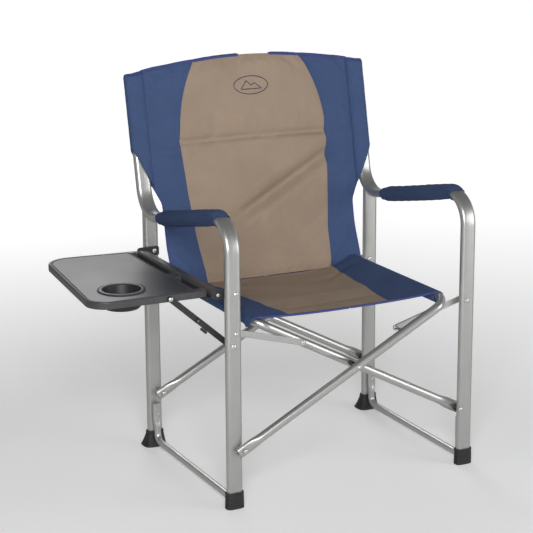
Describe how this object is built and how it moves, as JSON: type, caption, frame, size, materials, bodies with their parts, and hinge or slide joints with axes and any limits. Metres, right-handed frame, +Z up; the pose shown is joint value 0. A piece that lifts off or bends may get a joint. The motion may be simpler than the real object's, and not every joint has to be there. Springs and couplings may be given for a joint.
{
  "type": "folding director chair with side table",
  "caption": "Folding director's chair with a bent flat-oval tube frame, crossed under-seat frames, padded two-colour fabric and a drop-down side table with a cup holder",
  "frame": {"origin": "bottom centre of the whole chair's box at rest, on the floor, table included", "axes": "+X to the side away from the table, +Y from the front of the chair to its back, +Z up"},
  "size_m": [0.911, 0.5736, 0.9061],
  "materials": {
    "tube_silver": "satin silver",
    "rivet_steel": "bright rivet",
    "black_plastic": "moulded matt black",
    "black_steel": "black paint",
    "table_plastic": "moulded dark grey",
    "table_surface": "fine-textured light grey",
    "fabric_blue": "woven polyester, navy blue",
    "fabric_tan": "small-check ripstop polyester, tan"
  },
  "bodies": {
    "left_side": {"side_tube_left": "tube_silver", "rear_leg_left": "tube_silver", "skid_left": "tube_silver", "front_foot_left": "black_plastic", "rear_foot_left": "black_plastic", "arm_pad_left": "fabric_blue", "post_plug_left": "black_plastic", "back_sleeve_left": "fabric_blue", "lower_rivet_left_front": "rivet_steel", "lower_rivet_left_rear": "rivet_steel", "link_rivet_left_front": "rivet_steel", "link_rivet_left_rear": "rivet_steel", "hinge_bracket_front": "black_plastic", "hinge_bracket_rear": "black_plastic", "bracket_rivet_front": "rivet_steel", "bracket_rivet_rear": "rivet_steel", "brace_leg_rivet": "rivet_steel"},
    "cross_frame_a": {"cross_frame_a": "tube_silver", "crossing_rivet_front": "rivet_steel", "crossing_rivet_rear": "rivet_steel", "crossing_spacer_front": "black_plastic", "crossing_spacer_rear": "black_plastic"},
    "cross_frame_b": {"cross_frame_b": "tube_silver"},
    "right_side": {"side_tube_right": "tube_silver", "rear_leg_right": "tube_silver", "skid_right": "tube_silver", "front_foot_right": "black_plastic", "rear_foot_right": "black_plastic", "arm_pad_right": "fabric_blue", "post_plug_right": "black_plastic", "back_sleeve_right": "fabric_blue", "lower_rivet_right_front": "rivet_steel", "lower_rivet_right_rear": "rivet_steel", "link_rivet_right_front": "rivet_steel", "link_rivet_right_rear": "rivet_steel", "lower_spacer_front": "black_plastic", "lower_spacer_rear": "black_plastic"},
    "links_left": {"link_left_front": "tube_silver", "link_left_rear": "tube_silver", "link_pin_left_front": "rivet_steel", "link_pin_left_rear": "rivet_steel"},
    "links_right": {"link_right_front": "tube_silver", "link_right_rear": "tube_silver", "link_pin_right_front": "rivet_steel", "link_pin_right_rear": "rivet_steel"},
    "seat_left": {"seat_left": "fabric_tan"},
    "seat_right": {"seat_right": "fabric_tan"},
    "back_left": {"back_panel_left": "fabric_tan", "back_lower_left": "fabric_tan"},
    "back_right": {"back_panel_right": "fabric_tan", "back_lower_right": "fabric_tan"},
    "table": {"table_tray": "table_plastic", "table_sheet": "table_surface", "cup_holder": "black_plastic", "hinge_bar": "table_plastic", "brace_table_rivet": "rivet_steel"},
    "brace_upper": {"brace_upper": "black_steel", "brace_mid_rivet": "rivet_steel"},
    "brace_lower": {"brace_lower": "black_steel", "brace_latch": "black_plastic"}
  },
  "joints": [
    {"name": "frame_fold", "type": "hinge", "parent": "left_side", "child": "cross_frame_a", "pos_m": [-0.14146, -0.03322, 0.136], "axis": [0, -1, 0], "range_deg": [0, 40]},
    {"name": "crossing_pivot", "type": "hinge", "parent": "cross_frame_a", "child": "cross_frame_b", "pos_m": [0.13654, -0.03322, 0.28324], "axis": [0, -1, 0], "range_deg": [-80.01, 0]},
    {"name": "right_lower_pivot", "type": "hinge", "parent": "cross_frame_b", "child": "right_side", "pos_m": [0.41454, -0.03322, 0.136], "axis": [0, -1, 0], "range_deg": [0, 40.01]},
    {"name": "links_left_pivot", "type": "hinge", "parent": "left_side", "child": "links_left", "pos_m": [-0.15146, -0.03322, 0.393], "axis": [0, -1, 0], "range_deg": [0, 79.36]},
    {"name": "links_right_pivot", "type": "hinge", "parent": "right_side", "child": "links_right", "pos_m": [0.42454, -0.03322, 0.393], "axis": [0, -1, 0], "range_deg": [-79.36, 0]},
    {"name": "seat_left_turn", "type": "hinge", "parent": "cross_frame_b", "child": "seat_left", "pos_m": [-0.09146, -0.03322, 0.404], "axis": [0, -1, 0], "range_deg": [-27.88, 0]},
    {"name": "seat_right_turn", "type": "hinge", "parent": "cross_frame_a", "child": "seat_right", "pos_m": [0.36454, -0.03322, 0.404], "axis": [0, -1, 0], "range_deg": [0, 27.88]},
    {"name": "back_left_turn", "type": "hinge", "parent": "left_side", "child": "back_left", "pos_m": [-0.13446, 0.20627, 0.5518], "axis": [0, 0.2079, 0.9781], "range_deg": [0, 65.76], "deforming": ["back_lower_left"]},
    {"name": "back_right_turn", "type": "hinge", "parent": "right_side", "child": "back_right", "pos_m": [0.40754, 0.20627, 0.5518], "axis": [0, 0.2079, 0.9781], "range_deg": [-65.76, 0], "deforming": ["back_lower_right"]},
    {"name": "table_hinge", "type": "hinge", "parent": "left_side", "child": "table", "pos_m": [-0.18346, -0.03322, 0.478], "axis": [0, -1, 0], "range_deg": [0, 90]},
    {"name": "brace_lower_pivot", "type": "hinge", "parent": "left_side", "child": "brace_lower", "pos_m": [-0.15746, -0.22473, 0.366], "axis": [0, -1, 0], "range_deg": [-69.04, 0]},
    {"name": "brace_upper_pivot", "type": "hinge", "parent": "table", "child": "brace_upper", "pos_m": [-0.28146, -0.22173, 0.476], "axis": [0, -1, 0], "range_deg": [0, 1.68]}
  ],
  "couplings": [
    {"joint": "crossing_pivot", "follows": "frame_fold", "ratio": -2},
    {"joint": "right_lower_pivot", "follows": "frame_fold", "ratio": 1},
    {"joint": "links_left_pivot", "follows": "frame_fold", "ratio": 1.9837},
    {"joint": "links_right_pivot", "follows": "frame_fold", "ratio": -1.9837},
    {"joint": "seat_left_turn", "follows": "frame_fold", "ratio": -0.69675},
    {"joint": "seat_right_turn", "follows": "frame_fold", "ratio": 0.69675},
    {"joint": "back_left_turn", "follows": "frame_fold", "ratio": 1.6437},
    {"joint": "back_right_turn", "follows": "frame_fold", "ratio": -1.6437},
    {"joint": "brace_lower_pivot", "follows": "table_hinge", "ratio": -0.76701},
    {"joint": "brace_upper_pivot", "follows": "table_hinge", "ratio": 0.01856}
  ]
}
